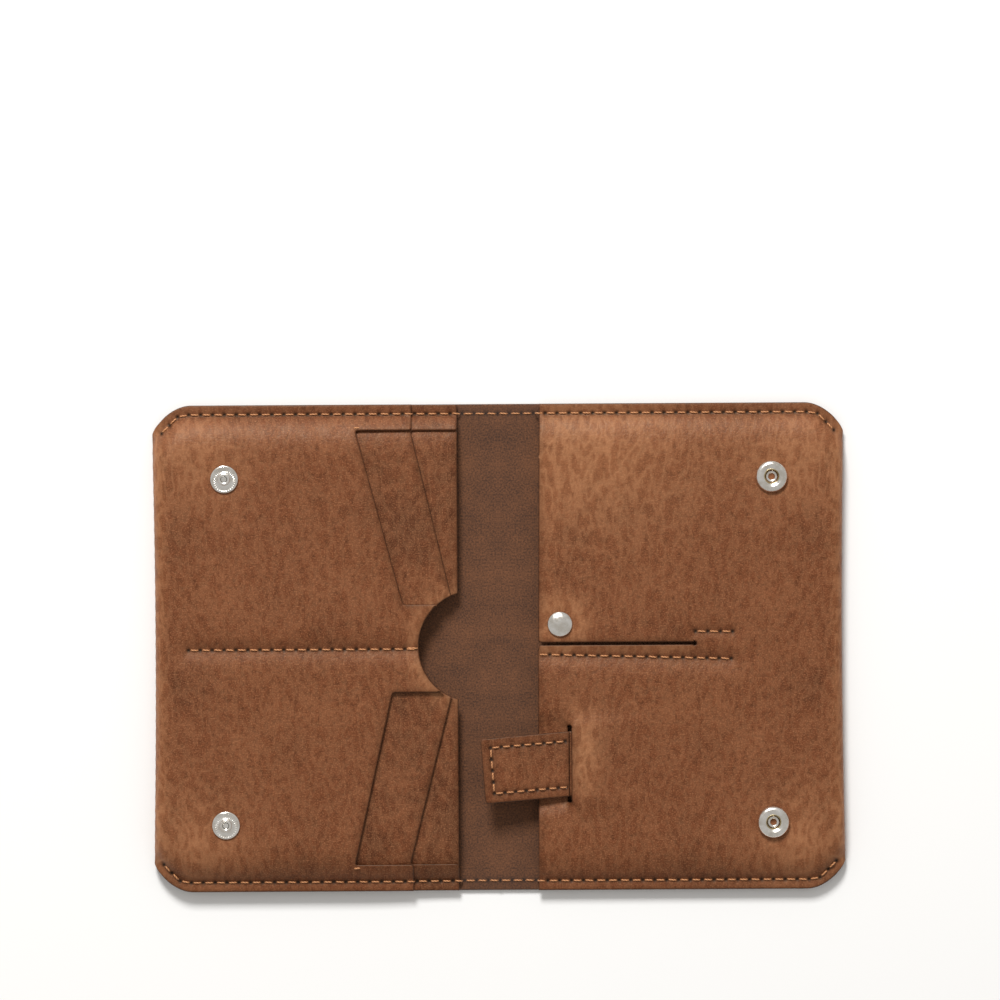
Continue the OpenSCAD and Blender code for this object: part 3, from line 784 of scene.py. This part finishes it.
leftCover = leatherSheet(
    "leftCover", [coverLoop(leftPlanX, leftOnTop, stripX, stripX, frontEdge)], leftPlace,
    [coverLeather, fleshSide, cutEdge], coverTop, leftSeams, leftHoles,
    butt=lambda l: l[:, 0] < 0.01, rub=wearAndHighlightLeft)
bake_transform(leftCover)
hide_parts("left_cover", "spine_cover")
print("left cover made:", len(leftCover.data.vertices), "points")


def wearAndHighlightRight(points):
    # paler where handled: the fold, round the coin snap and along the slit lip; painted highlights over the
    # corner shoulders, right of the strap slit and in a broad patch near the spine at the top; the fold band
    # is partly painted highlight
    x, y = points[:, 0], points[:, 1]
    fold = smooth(halfW - 6, halfW - 0.5, np.abs(x))
    flap = 0.45 * hill(np.hypot(x - coinSnap[0], y - coinSnap[1]) - 6, 4)
    lip = 0.4 * hill(y - slit["y"] + 1.4, 1.6) * (x < slit["end"])
    # painted highlight right of the strap slit, where the leather rises over the strap
    strapEdgeHighlight = 0.6 * hill(x - strap["slitX"] - 4, 5) * hill((y + 33) / 13, 1)
    corner = 0.4 * hill(np.hypot(np.abs(x) - halfW + 14, np.abs(y) - halfH + 16), 15)
    # painted highlight: a broad light patch near the spine at the top of this half
    broadHighlight = 0.5 * hill(np.hypot((x - 22) / 1.5, y - 60), 24)
    return np.clip(0.5 * fold + flap + lip + strapEdgeHighlight + corner + broadHighlight, 0, 1) * (points[:, 2] > 1.5)


rightPlanX, rightPlace, rightOnTop = coverMap(1, rightFront, rightTop)
# the free edge beside the spine leans a little, and the slit starts from it
edgeTop, edgeFlap, edgeSlit, edgeLow = freeX + 0.5, freeX + 0.25, freeX - 0.2, freeX - 0.5
flapTop = boxMm("coin_flap")[1][1]
lip = slit["wide"] / 2
bendEnd = (slit["end"] + 0.3, slit["y"] + 0.54)
bendLine = [tuple(np.array([edgeFlap, flapTop]) * (1 - t) + np.array(bendEnd) * t)
            for t in np.linspace(0, 1, 78)]
holeRound = arc(slit["end"], slit["y"], slit["hole"], 61, -139, 14)
slitLow, slitHigh = slit["y"] - lip, slit["y"] + lip
rightEdge = [(edgeLow, -halfH), (edgeSlit - 0.1, slitLow - 2), (edgeSlit + 0.25, slitLow - 0.3),
             (edgeSlit + 0.7, slitLow), (slit["end"] - 0.47, slitLow)] + holeRound[::-1][1:-1]
rightEdge += bendLine[::-1] + [(edgeTop, halfH)]
strapHole = arc(strap["slitX"], strap["slitY"][1], 0.62, -40, 220, 12)
strapHole += arc(strap["slitX"], strap["slitY"][0], 0.62, 140, 400, 12)
rightSeams, rightHoles = [], []
for sign in (1, -1):
    onLeaf = [(rightOnTop(x), sign * y) for x, y in topHoles if x > edgeTop]
    onCover = [(x, sign * y) for x, y in topHoles if x <= wallet["seamTurn"]]
    rightSeams += [densePath(onLeaf), densePath(onCover)]
    rightHoles += onLeaf + onCover
rightDivideHoles = stitchHoles(rightSeam, wallet["pitch"])[1:]
stayHoles = stitchHoles(staySeam, wallet["pitch"])


def onRightLoop(path):
    return [(rightOnTop(x), y) for x, y in path]


for path, spots in ((rightSeam, rightDivideHoles), (staySeam, stayHoles)):
    rightSeams.append(densePath(onRightLoop(path)))
    rightHoles += onRightLoop(spots)


def rightButt(loop):
    # the middle of the spine and the bend of the coin flap meet another piece of the same hide
    alongBend = pathDistance(loop, [onRightLoop(bendLine)]) < 0.02
    return (loop[:, 0] < 0.01) | alongBend


rightOutline = coverLoop(rightPlanX, rightOnTop, edgeLow, edgeTop, rightEdge)
rightCover = leatherSheet(
    "rightCover", [rightOutline, onRightLoop(strapHole)], rightPlace,
    [coverLeather, fleshSide, cutEdge], coverTop, rightSeams, rightHoles,
    butt=rightButt, rub=wearAndHighlightRight)
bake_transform(rightCover)
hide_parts("right_cover", "spine_cover")
print("right cover made:", len(rightCover.data.vertices), "points")


def flatLeaf(top, thick):
    # a leaf drawn in plan: share of depth 0 is its grain face
    def place(x, y, share):
        return np.stack([x, y, top(x, y) - share * thick], 1)
    return place


# coin flap: the corner of the front leaf that lifts
flapLoop = [(edgeFlap, flapTop), (edgeSlit, slitHigh + 0.8), (edgeSlit + 0.3, slitHigh + 0.2),
            (edgeSlit + 0.9, slitHigh), (slit["end"] - 0.44, slitHigh),
            (slit["end"] - 0.1, slitHigh + 0.2)] + bendLine[::-1][:-1]
coinFlap = leatherSheet(
    "coinFlap", [onRightLoop(flapLoop)], rightPlace, [coverLeather, fleshSide, cutEdge],
    wallet["frontThick"], butt=lambda l: pathDistance(l, [onRightLoop(bendLine)]) < 0.02,
    rub=wearAndHighlightRight)
flapBendWide = 0.009      # the leather bends over this width
bendMiddle = np.array(bendLine[len(bendLine) // 2]) / 1000
bendSide = np.array([-(bendLine[0][1] - bendEnd[1]), -(bendEnd[0] - bendLine[0][0])])
bendSide = bendSide / np.linalg.norm(bendSide) * flapBendWide
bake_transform(coinFlap)
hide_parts("coin_flap")

# inner leaves
innerEnd = halfW - 5.2


def leafOuter(side, fromX):
    # the far side of a leaf, from the top edge round to the bottom edge, inside the fold
    xs = np.linspace(fromX, innerEnd, 60)
    upper = [(side * x, float(edgeY(x)) - 0.05) for x in xs]
    return upper + [(side * x, -y) for (_, y), x in zip(upper[::-1], xs[::-1])]


cardLeaf = {"mouthX": (-28.0, -27.3), "endX": -14.8, "end": (-15.2, 16.1), "corner": 1.0}
leafEdgeY = halfH - 0.05
middleEdge = roundCorners([(-innerX, -leafEdgeY), (-innerX, mouth["low"]),
                           (cardLeaf["mouthX"][0], mouth["low"]),
                           (cardLeaf["endX"], cardLeaf["end"][0])], cardLeaf["corner"])
middleEdge += notchArc(*cardLeaf["end"])
middleEdge += roundCorners([(cardLeaf["endX"], cardLeaf["end"][1]),
                            (cardLeaf["mouthX"][1], mouth["top"]), (-innerX, mouth["top"]),
                            (-innerX, leafEdgeY)], cardLeaf["corner"])
leafHoles = [(-x, sign * y) for sign in (1, -1) for x, y in topHoles if innerX + 0.4 < x < stripX + 4]
leafSeamY = halfH - wallet["seamIn"]
leafSeams = [densePath([(-innerX - 0.5, s * leafSeamY), (-34, s * leafSeamY)]) for s in (1, -1)]
middleLeaf = leatherSheet(
    "middleLeaf", [leafOuter(-1, innerX) + middleEdge], flatLeaf(leftMiddle, wallet["leafThick"]),
    [leafLeather, fleshSide, cutEdge], wallet["leafThick"], leafSeams, leafHoles, rub=wearAndHighlightLeft)
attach(middleLeaf, "left_half")
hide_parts("middle_leaf")

notchHalf = math.sqrt(notch["r"] ** 2 - (innerX + notch["x"]) ** 2)
notchLow, notchHigh = notch["y"] - notchHalf, notch["y"] + notchHalf
innerEdge = [(-innerX, -leafEdgeY), (-innerX, notchLow)] + notchArc(notchLow, notchHigh)[1:-1]
innerEdge += [(-innerX, notchHigh), (-innerX, leafEdgeY)]
innerLeaf = leatherSheet(
    "innerLeaf", [leafOuter(-1, innerX) + innerEdge], flatLeaf(leftInner, wallet["leafThick"]),
    [leafLeather, fleshSide, cutEdge], wallet["leafThick"], rub=wearAndHighlightLeft)
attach(innerLeaf, "left_half")
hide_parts("inner_leaf")

dividerX = boxMm("divider_leaf")[0][0]
dividerLeaf = leatherSheet(
    "dividerLeaf", [leafOuter(1, dividerX) + [(dividerX, -leafEdgeY), (dividerX, leafEdgeY)]],
    flatLeaf(divider, wallet["leafThick"]), [leafLeather, fleshSide, cutEdge], wallet["leafThick"])
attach(dividerLeaf, "right_half")
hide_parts("divider_leaf")
print("leaves made")

# pull strap: one long strip, doubled and sewn at the end that is pulled
tabLook = {"corner": 1.3, "rise": 3.14, "seamIn": 3.0, "pitch": 3.54, "crown": 0.22,
           "facingLong": 27.6, "crownHalf": 10.15, "cut": 0.15, "seamFrom": 0.9}
tabTurn = math.radians(strap["turn"])
strapStart = np.array([strap["slitX"],
                       middleMm("tab_facing")[1] + tabLook["facingLong"] / 2 * math.sin(tabTurn)])
strapInside = boxMm("pull_strap")[1][0] - strap["slitX"]


def tabTop(s, layers):
    # height over the strap: level inside the pocket, rising straight towards the tip
    lift = tabLook["rise"] * np.clip(s / strap["tab"], 0, 1)
    return strap["base"] + lift + layers * strap["thick"]


def strapLayer(layer):
    def place(s, w, share):
        x = strapStart[0] - s * math.cos(tabTurn) - w * math.sin(tabTurn)
        y = strapStart[1] - s * math.sin(tabTurn) + w * math.cos(tabTurn)
        swell = tabLook["crown"] * (1 - (w / tabLook["crownHalf"]) ** 2) * smooth(3, 20, s)
        z = tabTop(s, layer + 1 - share) + 0.02 * layer + swell
        return np.stack([x, y, z], 1)
    return place


half = strap["wide"] / 2
tip = strap["tab"]
slitCut = tabLook["crownHalf"] * math.sin(tabTurn)
tabEnd = roundCorners([(tabLook["cut"] + slitCut, -half), (tip, -half), (tip, half),
                       (tabLook["cut"] - slitCut, half)], tabLook["corner"])
seamW, seamTip = half - tabLook["seamIn"], tip - tabLook["seamIn"]
tabSeam = [(tabLook["seamFrom"], seamW), (seamTip, seamW), (seamTip, -seamW),
           (tabLook["seamFrom"], -seamW)]
tabHoles = np.vstack([stitchHoles(tabSeam[i:i + 2], tabLook["pitch"])[:(None if i == 2 else -1)]
                      for i in range(3)])
tabFront = leatherSheet("tabFront", [tabEnd], strapLayer(1), [strapLeather, fleshSide, cutEdge],
                        strap["thick"], [densePath(tabSeam)], tabHoles, spacing=1.8)
pullEnd = roundCorners([(-strapInside, -half), (tip, -half), (tip, half), (-strapInside, half)],
                       tabLook["corner"])
pullStrap = leatherSheet("pullStrap", [pullEnd], strapLayer(0), [strapLeather, strapLeather, cutEdge],
                         strap["thick"], spacing=1.8)
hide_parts("tab_facing")
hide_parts("pull_strap")

loopLook = {"from": 34.0, "to": 98.0, "low": dividerTop + 0.5, "high": 5.1, "thick": 0.7, "end": 48.5}


def loopPlace(s, w, share):
    # along the divider, round the far end and back under the front leaf
    radius = (loopLook["high"] - loopLook["low"]) / 2
    run = loopLook["to"] - loopLook["from"]
    turn = np.clip((s - run) / radius, 0, math.pi)
    past = np.maximum(s - run - math.pi * radius, 0)
    out = radius + (0.5 - share) * loopLook["thick"]
    x = loopLook["from"] + np.minimum(s, run) + out * np.sin(turn) - past
    z = loopLook["low"] + radius - out * np.cos(turn)
    return np.stack([x, strapStart[1] + 2 + w, z], 1)


loopLength = (loopLook["to"] - loopLook["from"] + math.pi * (loopLook["high"] - loopLook["low"]) / 2
              + loopLook["to"] - loopLook["end"])
strapLoop = leatherSheet("strapLoop", [[(0, -half), (loopLength, -half), (loopLength, half), (0, half)]],
                         loopPlace, [strapLeather, fleshSide, cutEdge], loopLook["thick"])
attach(strapLoop, "right_half")
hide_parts("strap_loop")
print("pull strap made")

# snaps: turned profiles with rolled rims
snapLook = {"segments": 120, "ribs": 30, "ribHeight": 0.06}


def turned(name, at, profile, surface, ribs=None):
    # profile: radius and height from the leather up, walked round the metal
    # ribs: the radii that they lie between
    count = snapLook["segments"]
    profile = np.array(profile, float)
    turn = np.linspace(0, 2 * math.pi, count, endpoint=False)
    rings = []
    for r, z in profile:
        lift = 0.0
        if ribs and ribs[0] < r < ribs[1] and z > 0.1:
            lift = snapLook["ribHeight"] * np.cos(turn * snapLook["ribs"])
        rings.append(np.stack([at[0] + r * np.cos(turn), at[1] + r * np.sin(turn),
                               np.full(count, at[2] + z) + lift], 1))
    faces = []
    for i in range(len(profile)):
        j = (i + 1) % len(profile)
        if profile[i][0] < 1e-6 and profile[j][0] < 1e-6:
            continue
        for k in range(count):
            n = (k + 1) % count
            faces.append([i * count + k, i * count + n, j * count + n, j * count + k])
    points = np.vstack(rings)
    piece = makeMesh(name, points, faces, [0] * len(faces), [surface], points[:, :2], {})
    shape = bmesh.new()
    shape.from_mesh(piece.data)
    bmesh.ops.remove_doubles(shape, verts=shape.verts, dist=1e-7)
    bmesh.ops.dissolve_degenerate(shape, edges=shape.edges, dist=1e-7)
    bmesh.ops.recalc_face_normals(shape, faces=shape.faces)
    shape.to_mesh(piece.data)
    shape.free()
    return piece


studProfile = [(4.35, 0), (4.35, 0.2), (4.26, 0.36), (4.05, 0.48), (3.85, 0.5), (3.66, 0.44), (3.5, 0.38),
               (3.2, 0.37), (2.9, 0.37), (2.6, 0.38), (2.4, 0.44), (2.15, 0.5), (1.95, 0.62), (1.8, 0.82),
               (1.74, 1.15), (1.84, 1.5), (1.9, 1.8), (1.86, 2.0), (1.7, 2.16), (1.45, 2.2), (1.2, 2.14),
               (1.05, 1.98), (0.98, 1.7), (0.95, 1.0), (0.95, 0)]
socketProfile = [(5.0, 0), (5.0, 0.5), (4.95, 0.9), (4.8, 1.25), (4.5, 1.58), (4.1, 1.8), (3.7, 1.9),
                 (3.3, 1.88), (2.95, 1.78), (2.7, 1.6), (2.5, 1.42), (2.3, 1.36), (2.16, 1.3), (2.1, 1.2),
                 (2.1, 0.7), (2.1, 0)]
ringProfile = [(1.9, -1.5), (1.9, -0.05), (1.84, 0.12), (1.66, 0.2), (1.4, 0.2), (1.15, 0.12), (0.98, -0.02),
               (0.9, -0.3), (0.86, -1.1), (0, -1.15), (0, -1.5)]
capProfile = [(0, 1.2), (0.7, 1.18), (1.4, 1.1), (2.1, 0.96), (2.7, 0.78), (3.2, 0.56), (3.6, 0.32),
              (3.82, 0.14), (3.9, 0), (3.84, -0.12), (3.6, -0.18), (0, -0.18)]
for word, stud, socket in (("upper", studUp, socketUp), ("lower", studLow, socketLow)):
    studAt = (stud[0], stud[1], frontTop)
    socketAt = (socket[0], socket[1], rightTop)
    made = (("Stud", studAt, studProfile, (2.5, 3.6), "left_half", "_stud"),
            ("Socket", socketAt, socketProfile, None, "right_half", "_socket"),
            ("SocketRing", socketAt, ringProfile, None, "right_half", "_socket_post"))
    for kind, at, profile, ribs, body, node in made:
        piece = turned(word + kind, at, profile, nickelPlate, ribs)
        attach(piece, body)
        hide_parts(word + node)
        "brass" if "post" in node else "nickel"
coinCap = turned("coinCap", (coinSnap[0], coinSnap[1], rightTop), capProfile, nickelPlate)
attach(coinCap, "coin_flap")
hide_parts("coin_cap")
for node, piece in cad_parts.items():
    if "spring" in node or "post" in node or node in ("coin_socket", "coin_stud"):
        for holder in piece.material_slots:
            holder.material = brassPlate if "spring" in node else nickelPlate
print("snaps made")

# seams: two-ply waxed thread, one arched stitch from hole to hole
stitchLook = {"radius": 0.28, "rings": 11, "sides": 10, "turns": 1.4, "arch": 0.12, "sink": 0.8,
              "short": 0.5, "loose": 0.04, "overStep": 0.55, "crossSlant": 0.1}


def stitch(start, end, up, slant):
    # one stitch as points, faces and how far each point stands out of the twist
    look = stitchLook
    along = end - start
    length = np.linalg.norm(along)
    along = along / length
    across = np.cross(up, along)
    across /= np.linalg.norm(across)
    up = np.cross(along, across)
    t = np.linspace(0, 1, look["rings"])
    slantBy = (slant + dice.normal(0, look["loose"])) * (1 - 2 * t)
    # where a leaf ends under a stitch, the thread stays high over the leaf's edge
    arch = look["arch"] + look["overStep"] * abs(end[2] - start[2])
    lift = arch * np.sin(math.pi * t) - look["sink"] * np.abs(2 * t - 1) ** 7
    middle = (start + along * (look["short"] + (length - 2 * look["short"]) * t[:, None])
              + across * slantBy[:, None] + up * lift[:, None])
    thin = 1 - 0.25 * np.abs(2 * t - 1) ** 6
    angle = np.linspace(0, 2 * math.pi, look["sides"], endpoint=False)
    twist = 2 * math.pi * look["turns"] * t + dice.uniform(0, math.pi)
    lobe = np.cos(angle[None] - twist[:, None]) ** 2
    radius = look["radius"] * thin[:, None] * (0.8 + 0.2 * lobe)
    points = (middle[:, None] + across * (radius * np.cos(angle))[..., None]
              + up * (radius * np.sin(angle))[..., None]).reshape(-1, 3)
    sides, faces = look["sides"], []
    for i in range(look["rings"] - 1):
        for k in range(sides):
            n = (k + 1) % sides
            faces.append([i * sides + k, i * sides + n, (i + 1) * sides + n, (i + 1) * sides + k])
    faces.append(list(range(sides))[::-1])
    faces.append([(look["rings"] - 1) * sides + k for k in range(sides)])
    return points, faces, lobe.ravel()


def seam(name, runs, *nodes, slant=0.06):
    # runs: hole places in space with the way out of the leather for each run
    allPoints, allFaces, ply, total = [], [], [], 0
    for holes, up in runs:
        for start, end in zip(holes, holes[1:]):
            points, faces, lobe = stitch(np.array(start), np.array(end), np.array(up, float), slant)
            allPoints.append(points)
            allFaces += [[i + total for i in f] for f in faces]
            ply.append(lobe)
            total += len(points)
    points = np.vstack(allPoints)
    piece = makeMesh(name, points, allFaces, [0] * len(allFaces), [linenThread],
                     points[:, :2], {"ply": np.concatenate(ply)})
    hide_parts(*nodes)
    return piece


def leftSurface(x, y):
    if x < -stripX:
        bend = frontTop / 2
        tall = float(leftFront(np.array(x), np.array(y)))
        out = max(abs(x) - halfW + bend, 0) / bend
        return tall / 2 * (1 + math.sqrt(max(1 - out * out, 0)))
    return float(leftMiddle(np.array(x), np.array(y))) if x < -innerX else coverTop


def rightSurface(x, y):
    if x < edgeTop:
        return coverTop
    bend = rightTop / 2
    tall = float(rightFront(np.array(x), np.array(y)))
    out = max(x - halfW + bend, 0) / bend
    return tall / 2 * (1 + math.sqrt(max(1 - out * out, 0)))


def onSurface(path, surface, sink=0.06):
    # holes in space, just under the face that the thread lies on
    out = []
    for x, y in path:
        z = surface(x, y) - sink
        out.append((float(drawIn(np.array(x), np.array(y))), y, z))
    return out


underThread = 0.36      # height of the thread's middle below the covers
for word, sign in (("top", 1), ("bottom", -1)):
    for side, surface, body in ((-1, leftSurface, "left_half"), (1, rightSurface, "right_half")):
        path = [(side * x, sign * y) for x, y in topHoles]
        below = [(x, y, underThread) for x, y in path if abs(x) <= wallet["seamTurn"]]
        wing = "left" if side < 0 else "right"
        piece = seam(f"{wing}{word.capitalize()}Seam",
                     [(onSurface(path, surface), (0, 0, 1)), (below, (0, 0, -1))],
                     f"{wing}_{word}_stitches", "spine_stitches")
        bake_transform(piece)
# the last stitch is doubled and goes over the edge of the thumb notch
overEdge = [divideHoles[-2] + (0, 0.25), (notchAt(0) + 0.5, 0.0)]


def frontOnly(x, y):
    return float(leftFront(np.array(x), np.array(y)))


def insideEdge(x, y):
    return rightSurface(max(x, edgeTop), y)


leftDivide = seam("leftDividerSeam",
                  [(onSurface(path, frontOnly), (0, 0, 1)) for path in (divideHoles, overEdge)],
                  "left_divider_stitches", slant=stitchLook["crossSlant"])
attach(leftDivide, "left_half")
rightRun = stitchHoles(rightSeam, wallet["pitch"])
rightDivide = seam("rightDividerSeam", [(onSurface(rightRun, insideEdge), (0, 0, 1))],
                   "right_divider_stitches", slant=stitchLook["crossSlant"])
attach(rightDivide, "right_half")
coinStay = seam("coinStaySeam", [(onSurface(stayHoles, rightSurface), (0, 0, 1))],
                "coin_stay_stitches", slant=stitchLook["crossSlant"])
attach(coinStay, "right_half")
tackPaths = ([(-45.6, 68.8), (-42.6, 68.9)], [(-46.3, -69.0), (-43.1, -68.5)])
tacks = seam("mouthTacks", [(onSurface(path, leftSurface), (0, 0, 1)) for path in tackPaths], "mouth_tacks")
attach(tacks, "left_half")
onTab = strapLayer(1)(tabHoles[:, 0], tabHoles[:, 1], np.full(len(tabHoles), 0.06))
tabStitches = seam("tabSeam", [(onTab, (0, 0, 1))], "tab_stitches")
anchorHoles = [(loopLook["from"] + 3, strapStart[1] + 2 + w, loopLook["low"] + 0.3)
               for w in np.linspace(-7, 7, 5)]
anchor = seam("strapAnchorSeam", [(anchorHoles, (0, 0, 1))], "strap_anchor_stitches")
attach(anchor, "right_half")
for piece in (tabFront, pullStrap, tabStitches):
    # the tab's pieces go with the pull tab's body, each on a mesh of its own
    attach(piece, "pull_tab")
    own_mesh(piece)
print("seams made")

# stage, light and camera
studio = {"floor": "#f4f3f1", "key": 40.0, "fill": 0.5, "keyAt": (-0.32, 1.45, 1.28), "keySize": 0.55,
          "wideMm": 312.5, "cameraAt": (0.0006, 0.0461, 1.607), "aimHeight": 0.007, "roll": -0.33}

bpy.context.scene.view_settings.view_transform = "Standard"
bpy.ops.mesh.primitive_plane_add(size=6, location=(0, 0, -0.00004))
floor = bpy.context.object
floor.name = "floor"
paper, _, paperShader = newMaterial("paper, matt white")
paperShader.inputs["Base Color"].default_value = linear(studio["floor"])
paperShader.inputs["Roughness"].default_value = 0.9
floor.data.materials.append(paper)

world = bpy.data.worlds.new("studio")
bpy.context.scene.world = world
world.use_nodes = True
world.node_tree.nodes["Background"].inputs["Color"].default_value = (1, 0.985, 0.965, 1)
world.node_tree.nodes["Background"].inputs["Strength"].default_value = studio["fill"]


def softLamp(name, place, size, watts, aim=(0, 0, 0)):
    lamp = bpy.data.lights.new(name, "AREA")
    lamp.size = size
    lamp.energy = watts
    holder = bpy.data.objects.new(name, lamp)
    holder.location = place
    holder.rotation_euler = (Vector(aim) - Vector(place)).to_track_quat("-Z", "Y").to_euler()
    bpy.context.scene.collection.objects.link(holder)


softLamp("key", studio["keyAt"], studio["keySize"], studio["key"])

camera = bpy.data.cameras.new("camera")
camera.sensor_width = 36
camera.lens = 36 * (studio["cameraAt"][2] - studio["aimHeight"]) / (studio["wideMm"] / 1000)
cameraHolder = bpy.data.objects.new("camera", camera)
cameraHolder.location = studio["cameraAt"]
cameraHolder.rotation_euler = (0, 0, math.radians(studio["roll"]))
bpy.context.scene.collection.objects.link(cameraHolder)
bpy.context.scene.camera = cameraHolder
